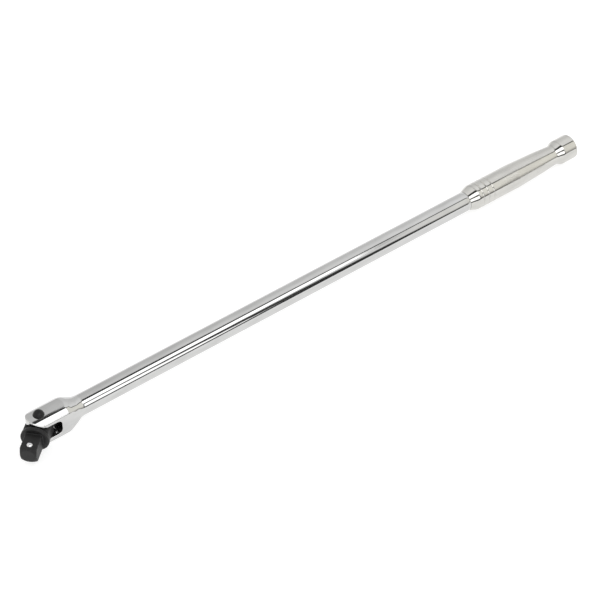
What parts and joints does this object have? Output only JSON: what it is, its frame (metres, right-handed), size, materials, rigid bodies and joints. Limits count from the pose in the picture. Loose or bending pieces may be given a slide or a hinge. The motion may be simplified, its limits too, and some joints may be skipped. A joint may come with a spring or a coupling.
{
  "type": "breaker bar",
  "caption": "Long round chromed bar with a fork that holds a swivelling square drive head on a pin, and a thicker turned grip with ring grooves and a waisted end.",
  "frame": {"origin": "centre of the drive square's end face, with the head at its rest angle", "axes": "+X along the bar from the head towards the grip, +Z along the pivot pin towards its domed end; the head is bent towards -Y at rest"},
  "size_m": [0.5504, 0.0351, 0.0293],
  "materials": {
    "bar_chrome": "polished chrome plate with fine hairline scratches",
    "grip_chrome": "satin chrome plate, slightly worn where it is held",
    "black_head": "black phosphate over forged and ground steel",
    "black_pin": "black oxide, satin",
    "bright_steel": "ground and polished hardened steel",
    "spring_steel": "drawn spring wire"
  },
  "bodies": {
    "bar": {"bar": "bar_chrome", "grip": "grip_chrome", "pivot_pin": "black_pin", "friction_spring": "spring_steel"},
    "drive_head": {"drive_head": "black_head", "detent_spring": "spring_steel"},
    "friction_plunger": {"friction_plunger": "bright_steel"},
    "detent_ball": {"detent_ball": "bright_steel"}
  },
  "joints": [
    {"name": "head_swivel", "type": "hinge", "parent": "bar", "child": "drive_head", "pos_m": [0.02272, 0.01975, 0], "axis": [0, 0, 1], "range_deg": [-131, 49]},
    {"name": "plunger_slide", "type": "slide", "parent": "bar", "child": "friction_plunger", "axis": [1, 0, 0], "range_m": [0, 0.001], "stiffness_N_per_m": 2500, "springref_m": -0.002, "deforming": ["friction_spring"]},
    {"name": "ball_press", "type": "slide", "parent": "drive_head", "child": "detent_ball", "axis": [0, 0, -1], "range_m": [0, 0.001], "stiffness_N_per_m": 1500, "springref_m": -0.001, "deforming": ["detent_spring"]}
  ]
}
